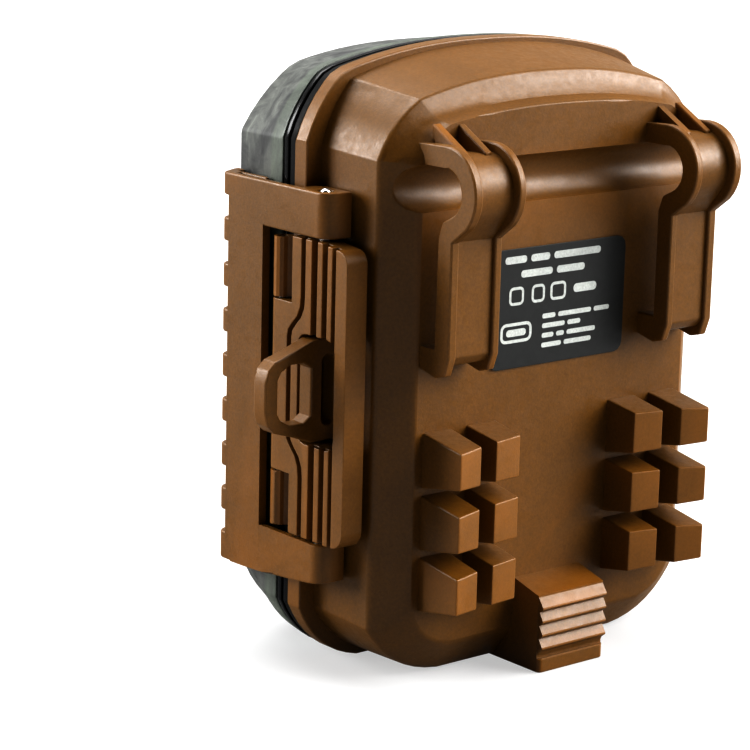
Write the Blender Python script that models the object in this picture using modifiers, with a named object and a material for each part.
"""Mini trail camera: rear housing, hinged front shell, over-centre side latch and what they hold.

Dimensions are in millimetres and are turned into metres when a mesh is made. The lens looks
along -Y, the tree side faces +Y, the latch is on +X and the door hinge on -X. The origin lies on
the middle plane, at the bottom of the rear housing's parting flange.
"""

import math

import bmesh
import bpy
from mathutils import Matrix, Vector

MM = 0.001
GAP = 0.3

# Case outline: half width, apex of the top arch and the height of the corner points.
CASE_HALF = 38.9
CASE_TOP = 104.35
SIDE_LOW = 10.6
SIDE_HIGH = 89.4
ARCH_POWER = 2.3

# Depth stations along Y, from the lens side to the tree side.
FRONT_FACE = -24.5
SHELL_BACK = -5.1
RIM = (-4.8, -3.75)
SEAL = (-3.45, -1.85)
FLANGE = (-1.55, 1.55)
BODY_EDGE = 15.71
BACK_FACE = 20.3
WALL = 2.2
# Back edge stations: depth, then how far the sides and the top have come in towards the back face.
BACK_STATIONS = (
    (15.1, -0.01, -0.02),
    (15.71, 0.025, 0.03),
    (16.3, 0.125, 0.33),
    (16.9, 0.26, 0.59),
    (18.0, 0.5, 0.82),
    (19.2, 0.755, 0.925),
    (19.7, 0.862, 0.958),
    (20.05, 0.945, 0.982),
    (BACK_FACE, 1.04, 1.0),
)

# Tree side: lock cable channel, strap brackets, bark teeth and tripod boss.
CHANNEL_Y = 21.2
CHANNEL_Z = 83.55
CHANNEL_R = 4.0
BULGE_Y = 25.15
BULGE_OUT = 7.5
BULGE_WEB = 6.0
BAR_IN = 23.95
BAR_OUT = 27.3
BAR_WEB = 26.7
SLOT_FOOT = 58.15
BRACKET_SIDES = ((19.1, 20.6), (28.2, 29.9))
BRACKET_WEB = (20.2, 28.6)
GUSSETS = ((21.7, 23.1), (26.5, 27.9))
TOOTH_PITCH = 10.5
TOOTH_ROWS = 3
TOOTH_TOP_ROW = 38.78
TOOTH_HALF = 3.545
TOOTH_DRAFT = 0.17
TOOTH_COLUMNS = ((13.08, 26.78, 19.09, 27.67), (22.85, 28.27, 28.44, 29.55))
BOSS_HALF = 7.5
BOSS_TOP = 13.1
BOSS_BACK = 27.3
LEDGE_PITCH = 2.35
INSERT_Y = 19.0

# Over-centre latch on the +X side.
LATCH_FACE = 41.86
LEVER_PIVOT = (40.4, -2.45)
CLASP_PIVOT = (39.4, 7.35)
KNUCKLE_R = 1.45
LATCH_MID = 49.3
CLASP_LOW = 15.5
CLASP_HIGH = 82.3
CLASP_SWEEP = 380.0
WINDOW_LOW = 23.94
WINDOW_HIGH = 74.76
LEVER_LOW = 24.45
LEVER_HIGH = 74.35
BARREL = (34.5, 63.4)
STAPLE_Y = (4.75, 7.95)
STAPLE_Z = 49.6
STAPLE_OUT = 51.45
NOTCHES = 8
NOTCH_PITCH = 7.76

# Door hinge on the -X side.
HINGE = (-41.2, -3.2)
HINGE_R = 2.2
HINGE_PIN_R = 0.95
DOOR_KNUCKLE = (33.4, 66.6)
CASE_KNUCKLES = ((24.0, 33.0), (67.0, 76.0))

# Front of the door.
LENS_Z = 58.0
LENS_R = 8.2
PIR_Z = 30.0
PIR_R = 10.6
IR_WINDOW = (21.5, 73.0, 88.0)
STATUS_LED = (-17.0, 58.0)

# Inside of the door.
PANEL = (-6.9, -5.5)
BOARD = (-10.6, -9.1)
SCREEN = (15.0, 55.0, 78.0)
KEY_CENTRE = (-12.0, 33.0)
KEY_STEP = 8.0
KEY_R = 2.6
SWITCH = (12.0, 42.0)
SWITCH_TRAVEL = 4.0
CARD_BAY = (6.0, 20.0, 14.0, 30.0)
PANEL_SCREWS = ((-29.0, 22.0), (29.0, 22.0), (-27.0, 84.0), (27.0, 84.0))

# Batteries.
CELL_R = 7.1
CELL_LONG = 49.4
CELL_LOW = 14.4
CELL_Y = 9.4
CELL_PITCH = 14.9
TRAY_HALF = 30.8
TRAY = (9.0, 69.5)


# ---------------------------------------------------------------- tools


def clear_scene():
    for obj in list(bpy.data.objects):
        bpy.data.objects.remove(obj, do_unlink=True)


def new_collection(name, hidden=False):
    made = bpy.data.collections.new(name)
    bpy.context.scene.collection.children.link(made)
    made.hide_render = hidden
    return made


def material(name, colour, roughness, metallic=0.0):
    made = bpy.data.materials.new(name)
    made.use_nodes = True
    shader = made.node_tree.nodes["Principled BSDF"]
    shader.inputs["Base Color"].default_value = (*colour, 1.0)
    shader.inputs["Roughness"].default_value = roughness
    shader.inputs["Metallic"].default_value = metallic
    made.diffuse_color = (*colour, 1.0)
    return made


def place(name, bm, home, finish=None):
    """Turns a bmesh in millimetres into an object in metres, in the collection home."""
    bmesh.ops.recalc_face_normals(bm, faces=bm.faces)
    bmesh.ops.scale(bm, vec=(MM, MM, MM), verts=bm.verts)
    mesh = bpy.data.meshes.new(name)
    bm.to_mesh(mesh)
    bm.free()
    obj = bpy.data.objects.new(name, mesh)
    home.objects.link(obj)
    if finish:
        mesh.materials.append(finish)
    else:
        obj.hide_render = True
        obj.display_type = "WIRE"
    return obj


def set_origin(obj, point):
    """Moves an object's origin to a point in millimetres and leaves its shape in place."""
    offset = Vector(point) * MM
    obj.data.transform(Matrix.Translation(-offset))
    obj.location = offset


def add_box(bm, low, high):
    low, high = Vector(low), Vector(high)
    move = Matrix.Translation((low + high) / 2) @ Matrix.Diagonal((*(high - low), 1.0))
    return bmesh.ops.create_cube(bm, size=1.0, matrix=move)["verts"]


def add_cylinder(bm, radius, start, end, segments=16, end_radius=None):
    """A closed cylinder, or a cone frustum, between two points."""
    start, end = Vector(start), Vector(end)
    along = end - start
    turn = along.to_track_quat("Z", "Y").to_matrix().to_4x4()
    bmesh.ops.create_cone(
        bm,
        cap_ends=True,
        segments=segments,
        radius1=radius,
        radius2=radius if end_radius is None else end_radius,
        depth=along.length,
        matrix=Matrix.Translation((start + end) / 2) @ turn,
    )


def add_prism(bm, outline, axis, start, end):
    """Extrudes a flat outline along an axis. Outline pairs are the two other axes, in X Y Z order."""

    def point(pair, along):
        values = list(pair)
        values.insert("XYZ".index(axis), along)
        return values

    face = bm.faces.new([bm.verts.new(point(pair, start)) for pair in outline])
    grown = bmesh.ops.extrude_face_region(bm, geom=[face])["geom"]
    moved = [item for item in grown if isinstance(item, bmesh.types.BMVert)]
    bmesh.ops.translate(bm, vec=point((0.0, 0.0), end - start), verts=moved)


def add_loft(bm, sections):
    """Joins closed outlines, given as (y, [(x, z), ...]) with equal counts, and caps both ends."""
    rings = [[bm.verts.new((x, y, z)) for x, z in points] for y, points in sections]
    for near, far in zip(rings, rings[1:]):
        for i in range(len(near)):
            j = (i + 1) % len(near)
            bm.faces.new((near[i], near[j], far[j], far[i]))
    bm.faces.new(rings[0])
    bm.faces.new(rings[-1])


def solid(name, home, finish, boxes=(), cylinders=(), prisms=(), lofts=()):
    """One object from primitives that don't touch each other."""
    bm = bmesh.new()
    for low, high in boxes:
        add_box(bm, low, high)
    for entry in cylinders:
        add_cylinder(bm, *entry)
    for entry in prisms:
        add_prism(bm, *entry)
    for sections in lofts:
        add_loft(bm, sections)
    return place(name, bm, home, finish)


def boolean(target, other, operation):
    step = target.modifiers.new(f"{operation.lower()} {other.name}", "BOOLEAN")
    step.operation = operation
    step.solver = "EXACT"
    step.object = other


def join(target, name, **shapes):
    boolean(target, solid(name, TOOLS, None, **shapes), "UNION")


def cut(target, name, **shapes):
    boolean(target, solid(name, TOOLS, None, **shapes), "DIFFERENCE")


def turned(name, profile, centre, finish, steps=24, facing="-Y"):
    """A turned piece: profile pairs are (radius, distance along the axis), down its outer side."""
    mesh = bpy.data.meshes.new(name)
    points = [(radius * MM, 0.0, along * MM) for radius, along in profile]
    mesh.from_pydata(points, [(i, i + 1) for i in range(len(points) - 1)], [])
    mesh.materials.append(finish)
    obj = bpy.data.objects.new(name, mesh)
    PARTS.objects.link(obj)
    spin = obj.modifiers.new("spin", "SCREW")
    spin.axis = "Z"
    spin.steps = spin.render_steps = steps
    spin.use_merge_vertices = True
    spin.merge_threshold = 0.00001
    obj.location = Vector(centre) * MM
    turns = {"-Y": (math.pi / 2, 0, 0), "+Y": (-math.pi / 2, 0, 0), "+Z": (0, 0, 0), "-Z": (math.pi, 0, 0)}
    obj.rotation_euler = turns[facing]
    return obj


# ---------------------------------------------------------------- outlines


def bowed(start, end, bow, steps):
    """Points from start to end, pushed to the right of that line by bow at the middle."""
    (x0, z0), (x1, z1) = start, end
    length = math.hypot(x1 - x0, z1 - z0)
    across = ((z1 - z0) / length, (x0 - x1) / length)
    points = []
    for i in range(steps + 1):
        t = i / steps
        push = bow * 4 * t * (1 - t)
        points.append((x0 + (x1 - x0) * t + across[0] * push, z0 + (z1 - z0) * t + across[1] * push))
    return points


def outline(half, low, high, shoulder, apex, heel, bow_top=0.9, bow_low=2.1, soften=0.35):
    """The case outline: flat bottom, round lower corners, upright sides, slanted shoulders, arched top."""
    right = bowed(heel, (half, low), bow_low, 8)
    right += bowed((half, high), shoulder, bow_top, 5)[:-1]
    arch = [(x, apex - (apex - shoulder[1]) * (x / shoulder[0]) ** ARCH_POWER) for x in arch_steps(shoulder[0])]
    before, after = right[-1], arch[0]
    for other in (before, after):
        right.append(tuple((1 - soften) * s + soften * o for s, o in zip(shoulder, other)))
    right += arch
    return right + [(0.0, apex)] + [(-x, z) for x, z in reversed(right)]


def arch_steps(half, steps=8):
    return [half * (steps - i) / steps for i in range(1, steps)]


def case_outline(inset=0.0):
    return outline(
        CASE_HALF - inset,
        SIDE_LOW + inset * 0.2,
        SIDE_HIGH - inset * 0.2,
        (31.4 - inset * 0.7, 100.4 - inset * 0.8),
        CASE_TOP - inset,
        (26.0 - inset * 0.5, inset),
    )


def arc(centre, radius, first, last, steps):
    """Points on a circle from one angle to another, in degrees."""
    points = []
    for i in range(steps + 1):
        angle = math.radians(first + (last - first) * i / steps)
        points.append((centre[0] + radius * math.cos(angle), centre[1] + radius * math.sin(angle)))
    return points


def mirrored(outline_points):
    return [(-a, b) for a, b in reversed(outline_points)]


def round_rect(half_a, low_b, high_b, radius, steps=3):
    """A rectangle with round corners, centred on the first axis."""
    corners = ((half_a, low_b, -90), (half_a, high_b, 0), (-half_a, high_b, 90), (-half_a, low_b, 180))
    points = []
    for a, b, first in corners:
        centre = (a - math.copysign(radius, a), b + (radius if b == low_b else -radius))
        points += arc(centre, radius, first, first + 90, steps)
    return points


# ---------------------------------------------------------------- rear housing


def body_sections():
    """The flange, the inset body, its back chamfer and the brow above the label face."""
    sections = [(FLANGE[0], case_outline()), (FLANGE[1], case_outline())]
    front = outline(35.9, 10.6, 88.65, (30.0, 99.2), 103.5, (23.0, 0.35), 0.8, 1.8, 0.08)
    sections.append((FLANGE[1] + 0.02, front))
    for y, side, top in BACK_STATIONS:
        sections.append(
            (
                y,
                outline(
                    35.6 - 5.3 * side,
                    10.0 + 3.5 * side,
                    87.9 - 0.6 * side,
                    (27.35 - 2.45 * top, 97.05 - 3.65 * top),
                    100.35 - 4.9 * top,
                    (20.0 + 2.0 * side, 0.4 + 6.1 * side),
                    1.0 - 0.2 * side,
                    2.2 - 0.6 * side,
                    0.08,
                ),
            )
        )
    return sections


def bracket_profile(bulge, bar, top, foot):
    """Side view of a strap bracket: top arm, bulge round the lock cable, bar and foot, as (y, z)."""
    outside = [(17.0, top - 0.35)] + arc((BULGE_Y, CHANNEL_Z), bulge, 90, -45, 14)
    outside += [(bar, 75.8), (bar, 57.0), (bar - 1.0, foot + 0.6), (bar - 3.2, foot), (17.5, foot + 1.6)]
    inside = [(17.5, SLOT_FOOT), (BAR_IN, SLOT_FOOT), (BAR_IN, 76.3), (24.85, 78.9)]
    inside += arc((BULGE_Y, CHANNEL_Z), CHANNEL_R, -65, 90, 12)
    return outside + inside + [(17.0, CHANNEL_Z + CHANNEL_R)]


def both_sides(outline_points, spans):
    """Prisms along X over each span and its mirror image."""
    prisms = []
    for low, high in spans:
        prisms.append((outline_points, "X", low, high))
        prisms.append((outline_points, "X", -high, -low))
    return prisms


def add_brackets(housing):
    flange = bracket_profile(BULGE_OUT, BAR_OUT, CHANNEL_Z + BULGE_OUT, 53.5)
    web = bracket_profile(BULGE_WEB, BAR_WEB, CHANNEL_Z + BULGE_WEB, 55.0)
    gusset = [(19.6, 88.6), (27.0, 88.6), (27.0, 89.75), (19.6, 93.8)]
    join(housing, "bracket_flanges", prisms=both_sides(flange, BRACKET_SIDES))
    join(housing, "bracket_webs", prisms=both_sides(web, [BRACKET_WEB]))
    join(housing, "bracket_gussets", prisms=both_sides(gusset, GUSSETS))


def tooth_half(y):
    return TOOTH_HALF - TOOTH_DRAFT * (y - TOOTH_COLUMNS[0][1])


def add_teeth(housing):
    """Twelve bark teeth in a shallow V, tapered towards their tips."""
    root = BACK_FACE - 2.3
    bm = bmesh.new()
    for row in range(TOOTH_ROWS):
        middle = TOOTH_TOP_ROW - TOOTH_PITCH * row
        for x_in, y_in, x_out, y_out in TOOTH_COLUMNS:
            for side in (1, -1):
                for vert in add_box(bm, (-1, -1, -1), (1, 1, 1)):
                    outer, tip = vert.co.x > 0, vert.co.y > 0
                    spread = 0.0 if tip else 0.35
                    x = x_out + spread if outer else x_in - spread
                    y = (y_out if outer else y_in) if tip else root
                    vert.co = (side * x, y, middle + math.copysign(tooth_half(y), vert.co.z))
    boolean(housing, place("bark_teeth", bm, TOOLS), "UNION")


def add_boss(housing):
    """The tripod boss, with a sloping top, round back corners and four grip ledges."""
    front, corner = 12.0, 0.9
    plan = [(-BOSS_HALF, front), (BOSS_HALF, front)]
    plan += arc((BOSS_HALF - corner, BOSS_BACK - corner), corner, 0, 90, 5)
    plan += arc((corner - BOSS_HALF, BOSS_BACK - corner), corner, 90, 180, 5)
    boss = solid("tripod_boss", TOOLS, None, prisms=[(plan, "Z", 0.0, BOSS_TOP + 5.0)])
    slope = [(11.0, BOSS_TOP + 4.7), (BOSS_BACK + 1.0, BOSS_TOP), (BOSS_BACK + 1.0, 20.0), (11.0, 20.0)]
    cut(boss, "boss_slope", prisms=[(slope, "X", -9.0, 9.0)])
    cut(boss, "ledge_space", boxes=[((-9.0, BOSS_BACK - 0.7, 2.5), (9.0, BOSS_BACK + 1.5, 19.0))])
    boolean(housing, boss, "UNION")
    profile = [(24.0, 1.9), (26.2, 1.9)]
    for step in range(3, -1, -1):
        tip = BOSS_TOP - 1.65 - LEDGE_PITCH * step
        profile += [(26.9, tip - 0.75), (27.9, tip)]
    profile += [(26.7, BOSS_TOP + 0.15), (24.0, BOSS_TOP + 0.15)]
    join(housing, "grip_ledges", prisms=[(profile, "X", 0.1 - BOSS_HALF, BOSS_HALF - 0.1)])
    hole = (4.3, (0, INSERT_Y, -1), (0, INSERT_Y, 8.4), 20)
    cut(housing, "tripod_hole", cylinders=[hole])


def add_staple(housing):
    """The fixed padlock staple that stands out through the latch lever."""
    upper = [(34.6, 8.5), (42.0, 8.5), (46.0, 7.0), (49.6, 5.9), (50.9, 4.6), (STAPLE_OUT, 2.5)]
    shape = [(x, STAPLE_Z + z) for x, z in upper] + [(x, STAPLE_Z - z) for x, z in reversed(upper)]
    join(housing, "staple", prisms=[(shape, "Y", *STAPLE_Y)])
    upper = [(42.2, 4.0), (43.6, 5.0), (46.3, 5.0), (48.2, 4.0), (48.9, 2.8)]
    shape = [(x, STAPLE_Z + z) for x, z in upper] + [(x, STAPLE_Z - z) for x, z in reversed(upper)]
    cut(housing, "staple_hole", prisms=[(shape, "Y", 3.0, 10.0)])
    root = [(38.65 + x, STAPLE_Z + z) for x, z in round_rect(1.25, -5.9, 5.9, 1.1)]
    cut(housing, "staple_root_slot", prisms=[(root, "Y", 3.0, 10.0)])


def knuckle(pivot, radius, first, last, root, steps=10):
    """A knuckle's outline in the XY plane: an arc round the pivot, joined to root points in the wall."""
    return arc(pivot, radius, first, last, steps) + root


def add_knuckles(housing):
    """Fixed knuckles: two for the latch lever and two for the door."""
    x, y = LEVER_PIVOT
    shape = knuckle(LEVER_PIVOT, KNUCKLE_R, -170, 85, [(40.0, -0.55), (38.8, 0.9), (38.3, 0.9), (38.3, -1.3)])
    spans = ((24.9, BARREL[0] - GAP), (BARREL[1] + GAP, 73.65))
    join(housing, "lever_knuckles", prisms=[(shape, "Z", *span) for span in spans])
    cut(housing, "lever_bores", cylinders=[(0.95, (x, y, 20), (x, y, 80), 12)])

    x, y = HINGE
    shape = knuckle(HINGE, HINGE_R, 150, 345, [(-39.0, -1.9), (-38.3, -1.3), (-38.3, 1.3)])
    join(housing, "hinge_knuckles", prisms=[(shape, "Z", *span) for span in CASE_KNUCKLES])
    cut(housing, "hinge_bores", cylinders=[(HINGE_PIN_R + GAP, (x, y, 20), (x, y, 80), 12)])


def tray_plan(half, front, side_end, back_half, back):
    """The battery tray seen from above: its back corners are cut off to follow the case."""
    right = [(half, front), (half, side_end), (back_half, back)]
    return right + [(-x, y) for x, y in reversed(right)]


def hollow_body(housing):
    """The cavity: a shallow one behind the brow and channel, and a deeper battery bay."""
    near = outline(33.6, 12.0, 87.5, (28.2, 97.0), 101.0, (22.0, 2.7), 0.8, 1.8)
    far = outline(33.2, 12.0, 86.5, (25.8, 94.6), 97.8, (20.0, 2.8), 0.8, 2.0)
    cut(housing, "cavity", lofts=[[(-3.0, near), (14.8, far)]])
    bay = tray_plan(TRAY_HALF + 0.6, 10.0, 13.25, 26.75, 17.9)
    cut(housing, "battery_bay", prisms=[(bay, "Z", TRAY[0] - 0.6, TRAY[1] + 0.6)])


def build_housing():
    housing = solid("rear_housing", PARTS, BROWN, lofts=[body_sections()])
    channel = (CHANNEL_R, (-45, CHANNEL_Y, CHANNEL_Z), (45, CHANNEL_Y, CHANNEL_Z), 36)
    cut(housing, "cable_channel", cylinders=[channel])
    add_brackets(housing)
    add_teeth(housing)
    add_boss(housing)
    add_staple(housing)
    add_knuckles(housing)
    hollow_body(housing)


def build_rear_trim():
    label = round_rect(15.2, 51.9, 72.0, 1.8)
    solid("label_plate", PARTS, BLACK, prisms=[(label, "Y", BACK_FACE + 0.05, BACK_FACE + 0.35)])
    ring("rim_seal", SEAL, 0.4, 2.9, SEAL_RUBBER)
    bore, outer, tall = 2.7, 4.0, 7.6
    profile = [(bore, tall), (outer, tall), (outer, 0.0), (bore, 0.0), (bore, tall)]
    turned("tripod_insert", profile, (0, INSERT_Y, 0.3), BRASS, 20, "+Z")
    x, y = LEVER_PIVOT
    solid("lever_pin", PARTS, STEEL, cylinders=[(0.65, (x, y, 25.1), (x, y, 73.4), 12)])
    x, y = HINGE
    solid("hinge_pin", PARTS, STEEL, cylinders=[(HINGE_PIN_R, (x, y, 23.2), (x, y, 76.8), 12)])


def ring(name, span, outer_inset, inner_inset, finish):
    """A closed frame that follows the case outline."""
    outer = case_outline(outer_inset)
    frame = solid(name, PARTS, finish, lofts=[[(span[0], outer), (span[1], outer)]])
    inner = case_outline(inner_inset)
    cut(frame, f"{name}_opening", lofts=[[(span[0] - 1, inner), (span[1] + 1, inner)]])


# ---------------------------------------------------------------- batteries


def build_batteries():
    low, high = TRAY
    outside = tray_plan(TRAY_HALF, 5.0, 13.0, 26.5, 17.5)
    tray = solid("battery_tray", PARTS, BLACK, prisms=[(outside, "Z", low, high)])
    inside = tray_plan(TRAY_HALF - 1.0, 4.0, 12.6, 25.75, 16.8)
    cut(tray, "tray_inside", prisms=[(inside, "Z", low + 1.2, high - 1.2)])
    ribs = [((x - 0.4, 14.6, low + 0.6), (x + 0.4, 17.2, high - 0.6)) for x in (-CELL_PITCH, 0.0, CELL_PITCH)]
    join(tray, "tray_ribs", boxes=ribs)

    bottom, top = 0.0, CELL_LONG
    profile = [(0.0, top), (2.7, top), (2.7, top - 1.2), (CELL_R - 0.6, top - 1.2), (CELL_R, top - 1.8)]
    profile += [(CELL_R, bottom + 0.5), (CELL_R - 0.5, bottom), (0.0, bottom)]
    for i in range(4):
        x = (i - 1.5) * CELL_PITCH
        upright = i % 2 == 0
        z = CELL_LOW if upright else CELL_LOW + CELL_LONG
        turned(f"cell_{i + 1}", profile, (x, CELL_Y, z), CELL_WRAP, 24, "+Z" if upright else "-Z")

    low_face, high_face = low + 1.5, high - 1.5
    for i, x in enumerate((-CELL_PITCH, CELL_PITCH)):
        for name, near, far in (("lower", low_face, CELL_LOW - GAP), ("upper", high_face, CELL_LOW + CELL_LONG + GAP)):
            step = math.copysign(0.5, far - near)
            wide = ((x - 13.5, 5.6, min(near, near + step)), (x + 13.5, 13.4, max(near, near + step)))
            plate = solid(f"contact_{name}_{i + 1}", PARTS, STEEL, boxes=[wide])
            cones = []
            for side in (-0.5, 0.5):
                at = x + side * CELL_PITCH
                cones.append((3.2, (at, CELL_Y, near + step / 2), (at, CELL_Y, far), 12, 2.0))
            join(plate, f"contact_{name}_{i + 1}_tips", cylinders=cones)


# ---------------------------------------------------------------- latch


def build_lever():
    """The ribbed lever: a plate with a barrel on its front edge and a slot round the staple."""
    end = 16.15
    low_r, high_r = 3.0, 2.3
    x, y = LEVER_PIVOT
    plate = [(1.85, LEVER_LOW), (end - low_r, LEVER_LOW)]
    plate += arc((end - low_r, LEVER_LOW + low_r), low_r, -90, 0, 5)[1:]
    plate += arc((end - high_r, LEVER_HIGH - 0.6 - high_r), high_r, 0, 80, 5)
    plate += [(9.0, LEVER_HIGH), (1.85, LEVER_HIGH)]
    plate += [(1.85, BARREL[1]), (y, BARREL[1]), (y, BARREL[0]), (1.85, BARREL[0])]
    lever = solid("latch_lever", PARTS, BROWN, prisms=[(plate, "X", 37.6, LATCH_FACE)])
    cut(lever, "lever_relief", boxes=[((36.0, -4.0, 20.0), (39.3, 2.5, 80.0))])
    join(lever, "lever_barrel", cylinders=[(KNUCKLE_R, (x, y, BARREL[0]), (x, y, BARREL[1]), 16)])
    cut(lever, "lever_bore", cylinders=[(0.95, (x, y, 20), (x, y, 80), 12)])
    slot = [(y + 8.55, z) for y, z in round_rect(4.75, 40.45, 58.75, 2.0)]
    cut(lever, "staple_slot", prisms=[(slot, "X", 36.0, 44.0)])
    low, high = LEVER_LOW - 1, LEVER_HIGH + 1
    bend = [(0.0, 0.55), (0.2, 2.3), (0.95, 3.9), (2.3, 5.3), (3.2, 6.4), (3.45, 7.6)]
    upper = [(4.85 - a, 65.2 - b) for a, b in bend]
    lower = [(4.85 - a, 34.0 + b) for a, b in reversed(bend)]
    middle = [(4.85, high)] + upper + lower + [(4.85, low)]
    bent = [(a + 0.5, b) for a, b in middle] + [(a - 0.5, b) for a, b in reversed(middle)]
    grooves = [(bent, "X", LATCH_FACE - 1.1, 44.0)]
    for near, far in ((7.05, 8.45), (9.85, 11.05), (12.35, 13.2)):
        straight = [(near, low), (far, low), (far, high), (near, high)]
        grooves.append((straight, "X", LATCH_FACE - 1.2, 44.0))
    cut(lever, "lever_grooves", prisms=grooves)
    x, y = CLASP_PIVOT
    pins = [(1.3, (x, y, low), (x, y, LEVER_LOW + 8.3), 12), (1.3, (x, y, LEVER_HIGH - 8.3), (x, y, high), 12)]
    cut(lever, "lever_pin_holes", cylinders=pins)
    set_origin(lever, (*LEVER_PIVOT, LATCH_MID))


def build_clasp():
    """The clasp frame: a toothed hook bar in front, and two arms back to its pins on the lever."""
    hook = [(LATCH_FACE, -16.4), (LATCH_FACE, -6.05), (40.35, -6.05), (40.45, -14.7), (39.75, -14.9)]
    hook += [(39.7, -8.2), (38.85, -8.2), (38.8, -16.7)]
    hook += [(37.35, -16.7), (37.0, -19.4), (38.3, -19.1), (40.7, -17.9), (41.5, -17.3)]
    clasp = solid("latch_clasp", PARTS, BROWN, prisms=[(hook, "Z", CLASP_LOW, CLASP_HIGH)])
    arm = [(LATCH_FACE - 0.01, -7.5), (LATCH_FACE - 0.01, 8.0), (41.5, 9.1), (40.7, 10.0), (39.4, 10.55)]
    arm += [(36.5, 10.55), (36.5, 3.6), (37.8, 2.3), (40.4, 2.3), (40.4, -7.5)]
    arms = [(arm, "Z", CLASP_LOW, WINDOW_LOW), (arm, "Z", WINDOW_HIGH, CLASP_HIGH)]
    join(clasp, "clasp_arms", prisms=arms)
    notches = []
    for i in range(NOTCHES):
        top = CLASP_HIGH - 3.85 - NOTCH_PITCH * i
        notches.append(((39.9, -20.0, top - 3.75), (44.0, -15.85, top)))
    cut(clasp, "clasp_notches", boxes=notches)
    sweep = [(y, CLASP_LOW + (y + 16.6) ** 2 / CLASP_SWEEP) for y in range(-14, 14, 3)]
    sweep = [(-18.0, CLASP_LOW - 0.3)] + sweep + [(13.0, 12.0), (-18.0, 12.0)]
    cut(clasp, "clasp_sweep", prisms=[(sweep, "X", 30.0, 45.0)])
    x, y = CLASP_PIVOT
    cut(clasp, "clasp_bores", cylinders=[(1.3, (x, y, 10), (x, y, 90), 12)])
    set_origin(clasp, (*CLASP_PIVOT, LATCH_MID))
    pin = [(0.0, 0.4), (0.45, 0.33), (0.85, 0.1), (1.05, -0.25), (1.05, -15.1), (0.0, -15.1)]
    turned("clasp_pin_upper", pin, (x, y, CLASP_HIGH), STEEL, 16, "+Z")
    turned("clasp_pin_lower", pin, (x, y, CLASP_LOW + 1.7), STEEL, 16, "-Z")


# ---------------------------------------------------------------- door


def shell_sections(inset):
    """The front shell's sections, or with an inset those of its hollow."""
    stations = (
        (SHELL_BACK, 38.75, 10.7, 89.3, (31.3, 100.3), 104.2, (26.0, 0.05), 1.9),
        (-8.75, 38.4, 10.8, 89.15, (29.9, 99.9), 103.6, (25.5, 0.2), 1.7),
        (-19.75, 36.3, 17.6, 88.65, (25.5, 99.3), 102.05, (23.6, 1.9), 2.5),
        (-23.0, 33.6, 19.5, 86.0, (23.6, 96.4), 98.9, (21.8, 5.0), 2.4),
        (FRONT_FACE, 31.6, 20.8, 84.5, (22.4, 94.2), 96.6, (20.6, 7.0), 2.3),
    )
    sections = []
    for y, half, low, high, shoulder, apex, heel, bow in stations:
        shoulder = (shoulder[0] - inset * 0.75, shoulder[1] - inset * 0.8)
        heel = (heel[0] - inset * 0.4, heel[1] + inset)
        low, high = low + inset * 0.3, high - inset * 0.3
        shape = outline(half - inset, low, high, shoulder, apex - inset, heel, bow_low=bow)
        sections.append((y, shape))
    return sections


def disc_hole(target, name, centre, radius, segments):
    x, z = centre
    cut(target, name, cylinders=[(radius, (x, -30, z), (x, -18, z), segments)])


def build_shell():
    shell = solid("front_shell", PARTS, CAMO, lofts=[shell_sections(0.0)])
    hollow = shell_sections(WALL)[:-1]
    hollow[0] = (SHELL_BACK + 1.0, hollow[0][1])
    hollow[-1] = (-22.4, hollow[-1][1])
    cut(shell, "shell_hollow", lofts=[hollow])
    catch = [(36.0, -15.2), (37.9, -15.2), (37.9, -13.6), (37.2, -12.0), (36.0, -12.0)]
    join(shell, "shell_catch", prisms=[(catch, "Z", 19.0, 76.5)])
    x, y = HINGE
    shape = knuckle(HINGE, HINGE_R, -55, 200, [(-39.2, -9.0), (-37.6, -9.0), (-37.6, -5.8), (-39.2, -5.4)])
    join(shell, "door_knuckle", prisms=[(shape, "Z", *DOOR_KNUCKLE)])
    cut(shell, "door_bore", cylinders=[(HINGE_PIN_R + GAP, (x, y, 20), (x, y, 80), 12)])
    posts = [(2.6, (a, -23.2, b), (a, PANEL[0] - GAP, b), 12) for a, b in PANEL_SCREWS]
    join(shell, "screw_posts", cylinders=posts)
    pilots = [(1.3, (a, -17.0, b), (a, -4.0, b), 10) for a, b in PANEL_SCREWS]
    cut(shell, "screw_pilots", cylinders=pilots)
    disc_hole(shell, "lens_hole", (0, LENS_Z), LENS_R, 28)
    disc_hole(shell, "pir_hole", (0, PIR_Z), PIR_R, 28)
    disc_hole(shell, "status_hole", STATUS_LED, 1.9, 12)
    window = round_rect(*IR_WINDOW, 2.5)
    cut(shell, "ir_hole", prisms=[(window, "Y", -30.0, -18.0)])
    set_origin(shell, (*HINGE, LATCH_MID))


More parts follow.
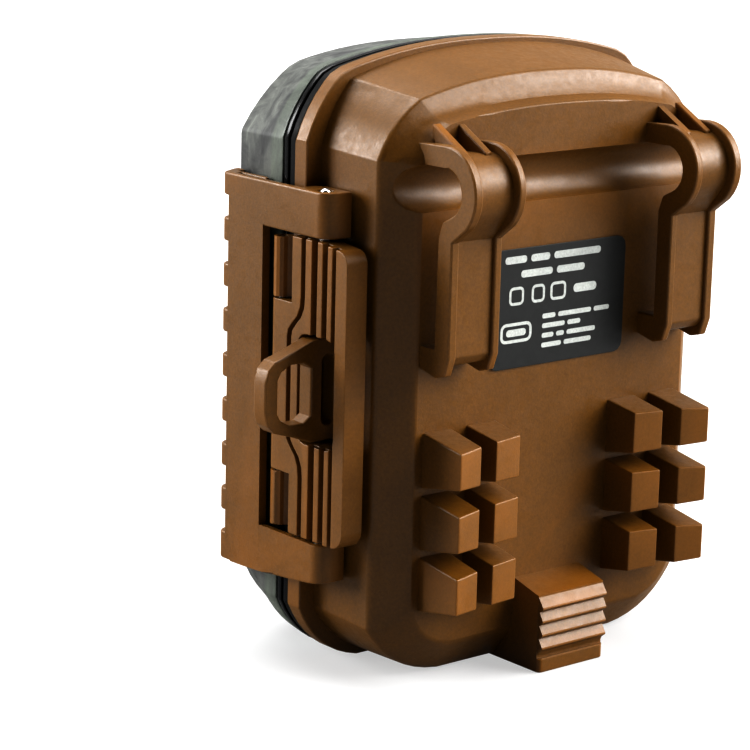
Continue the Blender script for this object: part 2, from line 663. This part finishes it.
def build_front_optics():
    half, low, high = IR_WINDOW
    pane = round_rect(half - GAP, low + GAP, high - GAP, 2.2)
    solid("ir_window", PARTS, SMOKED, prisms=[(pane, "Y", -24.2, -22.6)])
    board = solid("ir_led_board", PARTS, GREEN, boxes=[((-20.5, -20.6, 73.8), (20.5, -19.2, 87.2))])
    leds = []
    for column in range(7):
        for row in range(2):
            x, z = (column - 3) * 5.6, 77.4 + row * 6.2
            leds.append((1.7, (x, -20.0, z), (x, -22.2, z), 8, 1.2))
    join(board, "ir_leds", cylinders=leds)

    rim = [(5.7, 3.4), (7.4, 3.4), (7.9, 2.6), (7.9, -1.6), (5.7, -1.6), (5.7, 3.4)]
    turned("lens_bezel", rim, (0, -23.4, LENS_Z), BLACK, 32)
    dome = [(0.0, 2.1), (2.0, 1.9), (3.8, 1.2), (5.3, 0.0), (5.3, -0.9), (0.0, -0.9)]
    turned("lens_glass", dome, (0, -24.4, LENS_Z), SMOKED, 24)
    barrel = [(0.0, 5.6), (5.2, 5.6), (5.2, 1.0), (6.8, 1.0), (6.8, -5.2), (0.0, -5.2)]
    turned("lens_barrel", barrel, (0, -16.6, LENS_Z), BLACK, 24)
    cap = [(0.0, 3.2), (3.4, 2.9), (6.6, 1.9), (9.0, 0.2), (10.2, -1.6), (10.2, -3.0), (0.0, -3.0)]
    turned("pir_lens", cap, (0, -24.2, PIR_Z), MILKY, 28)
    can = [(0.0, 5.6), (4.1, 5.6), (4.1, 0.8), (4.6, 0.8), (4.6, 0.0), (0.0, 0.0)]
    turned("pir_sensor", can, (0, BOARD[0] - GAP, PIR_Z), STEEL, 16)
    lamp = [(0.0, 1.9), (1.1, 1.5), (1.6, 0.4), (1.6, -2.0), (0.0, -2.0)]
    turned("status_led", lamp, (STATUS_LED[0], -23.9, STATUS_LED[1]), MILKY, 12)


def key_places():
    x, z = KEY_CENTRE
    return {
        "ok": (x, z),
        "up": (x, z + KEY_STEP),
        "down": (x, z - KEY_STEP),
        "left": (x - KEY_STEP, z),
        "right": (x + KEY_STEP, z),
    }


def build_panel():
    """The black rim frame, and the panel that closes the door's back with its cut-outs."""
    ring("front_frame", RIM, 0.25, 3.2, BLACK)
    shape = case_outline(3.6)
    panel = solid("inner_panel", PARTS, BLACK, lofts=[[(PANEL[0], shape), (PANEL[1], shape)]])
    half, low, high = SCREEN
    left, right, bottom, top = CARD_BAY
    x, z = SWITCH
    windows = [
        ((-half, -9, low), (half, -3, high)),
        ((left, -9, bottom), (right, -3, top)),
        ((x - 2.2, -9, z - 2.9), (x + 2.2, -3, z + 2.9 + SWITCH_TRAVEL)),
    ]
    cut(panel, "panel_windows", boxes=windows)
    holes = [(KEY_R + GAP, (a, -9, b), (a, -3, b), 16) for a, b in key_places().values()]
    holes += [(1.4, (a, -9, b), (a, -3, b), 10) for a, b in PANEL_SCREWS]
    cut(panel, "panel_holes", cylinders=holes)
    screw = [(0.0, 1.5), (1.6, 1.5), (2.2, 0.9), (2.2, 0.0), (1.0, 0.0), (1.0, -7.5), (0.0, -7.5)]
    for i, (a, b) in enumerate(PANEL_SCREWS):
        turned(f"panel_screw_{i + 1}", screw, (a, PANEL[1] + GAP, b), STEEL, 12, "+Y")


def build_controls():
    cap = [(0.0, 3.0), (KEY_R - 0.5, 3.0), (KEY_R, 2.5), (KEY_R, 0.0), (3.4, 0.0), (3.4, -0.5), (0.0, -0.5)]
    for name, (x, z) in key_places().items():
        turned(f"key_{name}", cap, (x, PANEL[0] - GAP, z), KEY_RUBBER, 16, "+Y")
    x, z = SWITCH
    base = PANEL[0] - GAP
    knob = solid("power_switch", PARTS, BLACK, boxes=[((x - 1.8, base - 0.4, z - 2.5), (x + 1.8, -4.5, z + 2.5))])
    foot = ((x - 3.0, base - 1.0, z - 3.5), (x + 3.0, base, z + 3.5))
    join(knob, "switch_foot", boxes=[foot])
    set_origin(knob, (x, base, z))


def build_electronics():
    board = [(26.0, 14.0), (26.0, 78.0), (22.0, 82.0), (-22.0, 82.0), (-26.0, 78.0), (-26.0, 14.0)]
    solid("main_board", PARTS, GREEN, prisms=[(board, "Y", *BOARD)])
    half, low, high = SCREEN
    pane = ((-half + GAP, -6.7, low + GAP), (half - GAP, -5.9, high - GAP))
    solid("screen_window", PARTS, SMOKED, boxes=[pane])
    solid("screen_module", PARTS, BLACK, boxes=[((-half - 1, -8.8, low - 1), (half + 1, -7.2, high + 1))])
    left, right, bottom, top = CARD_BAY
    shield = ((left + 1.0, BOARD[1] + GAP, bottom + 5.5), (right - 1.0, -7.1, top - 0.6))
    socket = solid("card_socket", PARTS, STEEL, boxes=[shield])
    slot = ((left + 1.6, -8.4, bottom), (right - 1.6, -7.5, top - 1.4))
    cut(socket, "card_slot", boxes=[slot])
    card = ((left + 1.9, -8.3, bottom + 3.2), (right - 1.9, -7.6, top - 1.8))
    solid("memory_card", PARTS, CARD_BLUE, boxes=[card])
    usb = solid("usb_socket", PARTS, STEEL, boxes=[((-4.5, BOARD[1] + GAP, 15.0), (4.5, -7.2 - 0.1, 22.0))])
    cut(usb, "usb_mouth", boxes=[((-4.0, -8.4, 10.0), (4.0, -7.7, 21.0))])


# ---------------------------------------------------------------- assembly

clear_scene()
PARTS = new_collection("trail_camera")
TOOLS = new_collection("cutters", hidden=True)
BROWN = material("brown_plastic", (0.20, 0.095, 0.042), 0.45)
CAMO = material("camo_plastic", (0.16, 0.18, 0.16), 0.45)
BLACK = material("black_plastic", (0.012, 0.012, 0.013), 0.35)
SEAL_RUBBER = material("seal_rubber", (0.01, 0.01, 0.01), 0.6)
SMOKED = material("smoked_window", (0.006, 0.006, 0.008), 0.08)
MILKY = material("milky_lens", (0.6, 0.6, 0.58), 0.4)
STEEL = material("steel", (0.62, 0.62, 0.62), 0.25, 1.0)
BRASS = material("brass", (0.72, 0.52, 0.22), 0.3, 1.0)
GREEN = material("circuit_board", (0.01, 0.09, 0.035), 0.4)
CELL_WRAP = material("cell_wrap", (0.03, 0.05, 0.10), 0.35, 1.0)
CARD_BLUE = material("card_plastic", (0.03, 0.05, 0.10), 0.4)
KEY_RUBBER = material("key_rubber", (0.05, 0.05, 0.052), 0.6)

build_housing()
build_rear_trim()
build_batteries()
build_lever()
build_clasp()
build_shell()
build_front_optics()
build_panel()
build_controls()
build_electronics()
